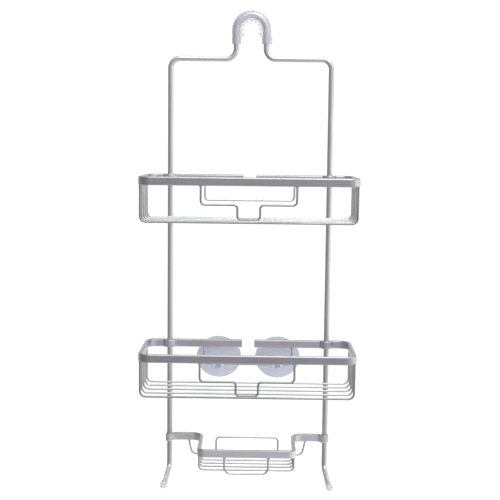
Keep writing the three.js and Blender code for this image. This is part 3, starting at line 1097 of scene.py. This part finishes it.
class CADDY_OT_fit_bushes(bpy.types.Operator):
    """Snap the split bushes over the rear guard wire"""
    bl_idname = "caddy.fit_bushes"
    bl_label = "Fit the cup bushes"

    def execute(self, context):
        plastic = context.scene.caddy_plastic
        material = highlight_bush_plastic(context.scene.caddy_finish.bush)
        for name in SIDES:
            low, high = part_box(f"{name}_cup_bush")
            bore = wire_radius() + 0.2 * MM
            mesh = open_ring(bore, plastic.bush, high.x - low.x, plastic.mouth, 0.35 * MM)
            bmesh.ops.transform(mesh, matrix=cup_place(name), verts=mesh.verts)
            piece(mesh, f"{name}_bush", material, f"{name}_bush", [f"{name}_cup_bush"])
        return {"FINISHED"}


def cup_profile(plastic, radius):
    """Neck, dome, rounded rim and hollow of a suction cup, from its front to its middle."""
    rim = plastic.rim
    lip = 0.55 * MM
    fillet = 2.2 * MM
    neck_front = 4.5 * MM
    step = 0.7 * MM
    seal = radius - 3.2 * MM
    profile = [
        (0.0, neck_front),
        (plastic.neck - step, neck_front),
        (plastic.neck, neck_front + step),
        (plastic.neck, plastic.dome - fillet),
    ]
    profile += arc_points((plastic.neck + fillet, plastic.dome - fillet), fillet, 180, 120, 4)[1:]
    pull = (radius * 0.66, plastic.dome + 3.4 * MM)
    profile += curve_points(profile[-1], pull, (radius - lip, rim - 2 * lip), 14)[1:]
    profile += arc_points((radius - lip, rim - lip), lip, -60, 90, 5)
    profile += curve_points((seal, rim), (radius * 0.55, plastic.cavity), (0.0, plastic.cavity), 12)
    return profile


class CADDY_OT_mould_cups(bpy.types.Operator):
    """Mould the two suction cups and their eyes"""
    bl_idname = "caddy.mould_cups"
    bl_label = "Mould the suction cups"

    def execute(self, context):
        plastic = context.scene.caddy_plastic
        material = cup_vinyl(context.scene.caddy_finish.cup)
        for name in SIDES:
            low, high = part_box(f"{name}_suction_cup")
            mesh = turned(cup_profile(plastic, (high.x - low.x) / 2), Y_AXIS, 72)
            bmesh.ops.translate(mesh, vec=(0.0, 0.0, plastic.rise), verts=mesh.verts)
            bore = plastic.bush + 0.25 * MM
            eye = open_ring(bore, plastic.eye, plastic.eye_width, plastic.mouth, 0.5 * MM)
            copy_into(mesh, eye)
            bmesh.ops.transform(mesh, matrix=cup_place(name), verts=mesh.verts)
            piece(mesh, f"{name}_cup", material, f"{name}_cup", [f"{name}_suction_cup"])
        return {"FINISHED"}


# ---------------------------------------------------------------- stage

def add_floor(stage, tint):
    mesh = bmesh.new()
    bmesh.ops.create_circle(mesh, cap_ends=True, segments=96, radius=stage.floor_radius)
    bmesh.ops.translate(mesh, verts=mesh.verts, vec=(0.0, 0.0, CAD_BOX[0].z - stage.floor_gap))
    data = bpy.data.meshes.new("floor")
    mesh.to_mesh(data)
    mesh.free()
    data.materials.append(floor_paint(tint))
    floor = bpy.data.objects.new("floor", data)
    floor.visible_glossy = False
    bpy.context.scene.collection.objects.link(floor)


def add_light(name, place, target, size, power):
    """A round white light that shines from its place at a target."""
    data = bpy.data.lights.new(name, "AREA")
    data.shape = "DISK"
    data.size = size
    data.energy = power
    light = bpy.data.objects.new(name, data)
    light.location = place
    light.rotation_euler = (Vector(target) - Vector(place)).to_track_quat("-Z", "Y").to_euler()
    bpy.context.scene.collection.objects.link(light)


def add_camera(stage):
    data = bpy.data.cameras.new("camera")
    data.sensor_width = 36.0
    data.lens = stage.lens
    data.clip_end = 200.0
    camera = bpy.data.objects.new("camera", data)
    aim = Matrix.Rotation(stage.yaw, 4, "Z") @ Matrix.Rotation(math.pi / 2 - stage.pitch, 4, "X")
    spot = Matrix.Translation((stage.camera_side, -stage.camera_back, -stage.camera_drop))
    camera.matrix_world = spot @ aim @ Matrix.Rotation(stage.roll, 4, "Z")
    bpy.context.scene.collection.objects.link(camera)
    bpy.context.scene.camera = camera


def toward(tree, direction, aim, outer, inner, amount):
    """Rises smoothly to its amount as a direction nears the aim."""
    aim = Vector(aim).normalized()
    dot = add_node(tree, "ShaderNodeVectorMath", {"operation": "DOT_PRODUCT"}, i0=direction, i1=aim)
    return remap(tree, dot.outputs["Value"], outer, inner, 0.0, amount)


def set_world():
    """White all round to the eye. As light it has a dark left side and a dim patch at the front right."""
    world = bpy.data.worlds.new("studio")
    world.use_nodes = True
    bpy.context.scene.world = world
    tree = world.node_tree
    seen = tree.nodes["Background"]
    seen.inputs["Color"].default_value = WHITE
    seen.inputs["Strength"].default_value = 1.1
    direction = tree.nodes.new("ShaderNodeTexCoord").outputs["Generated"]
    dark = toward(tree, direction, aim=(-0.96, -0.26, -0.1), outer=-0.2, inner=0.95, amount=0.74)
    dim = toward(tree, direction, aim=(0.42, -0.88, -0.2), outer=0.6, inner=1.0, amount=0.34)
    shade = math_node(tree, "ADD", dark, dim)
    level = math_node(tree, "MAXIMUM", math_node(tree, "SUBTRACT", 1.05, shade), 0.04)
    lamp = add_node(tree, "ShaderNodeBackground", Color=WHITE, Strength=level)
    eye = tree.nodes.new("ShaderNodeLightPath").outputs["Is Camera Ray"]
    mix = add_node(tree, "ShaderNodeMixShader", i0=eye, i1=lamp.outputs[0], i2=seen.outputs[0])
    tree.links.new(mix.outputs[0], tree.nodes["World Output"].inputs["Surface"])


class CADDY_OT_set_stage(bpy.types.Operator):
    """Set the floor, the lights and the camera"""
    bl_idname = "caddy.set_stage"
    bl_label = "Set the stage"

    def execute(self, context):
        stage = context.scene.caddy_stage
        add_floor(stage, context.scene.caddy_finish.floor)
        centre = (0.0, 0.0, (CAD_BOX[0].z + CAD_BOX[1].z) / 2)
        above_front = (0.35, -0.9, 1.1)
        far_right = (1.5, -0.3, -0.3)
        add_light("key", above_front, centre, 1.5, stage.key)
        add_light("side", far_right, centre, 0.5, stage.side)
        add_camera(stage)
        set_world()
        context.scene.view_settings.view_transform = "Standard"
        return {"FINISHED"}


# ---------------------------------------------------------------- panel and registration

BUILDERS = (
    CADDY_OT_set_stage,
    CADDY_OT_bend_rod,
    CADDY_OT_mould_sleeve,
    CADDY_OT_fit_caps,
    CADDY_OT_form_straps,
    CADDY_OT_form_basket_wires,
    CADDY_OT_form_dish_wires,
    CADDY_OT_lay_welds,
    CADDY_OT_fit_bushes,
    CADDY_OT_mould_cups,
)


class CADDY_PT_builder(bpy.types.Panel):
    """Lists the steps that build the caddy"""
    bl_idname = "CADDY_PT_builder"
    bl_label = "Shower caddy"
    bl_space_type = "VIEW_3D"
    bl_region_type = "UI"
    bl_category = "Caddy"

    def draw(self, context):
        for builder in BUILDERS:
            self.layout.operator(builder.bl_idname)
        for name, group in GROUPS.items():
            box = self.layout.box()
            box.label(text=group.__doc__)
            for setting in group.__annotations__:
                box.prop(getattr(context.scene, name), setting)


def register():
    for item in (*GROUPS.values(), *BUILDERS, CADDY_PT_builder):
        bpy.utils.register_class(item)
    for name, group in GROUPS.items():
        setattr(bpy.types.Scene, name, PointerProperty(type=group))


def unregister():
    for name in GROUPS:
        delattr(bpy.types.Scene, name)
    for item in (CADDY_PT_builder, *reversed(BUILDERS), *reversed(GROUPS.values())):
        bpy.utils.unregister_class(item)


def main():
    register()
    for builder in BUILDERS:
        space, step = builder.bl_idname.split(".")
        getattr(getattr(bpy.ops, space), step)()


if __name__ == "__main__":
    main()
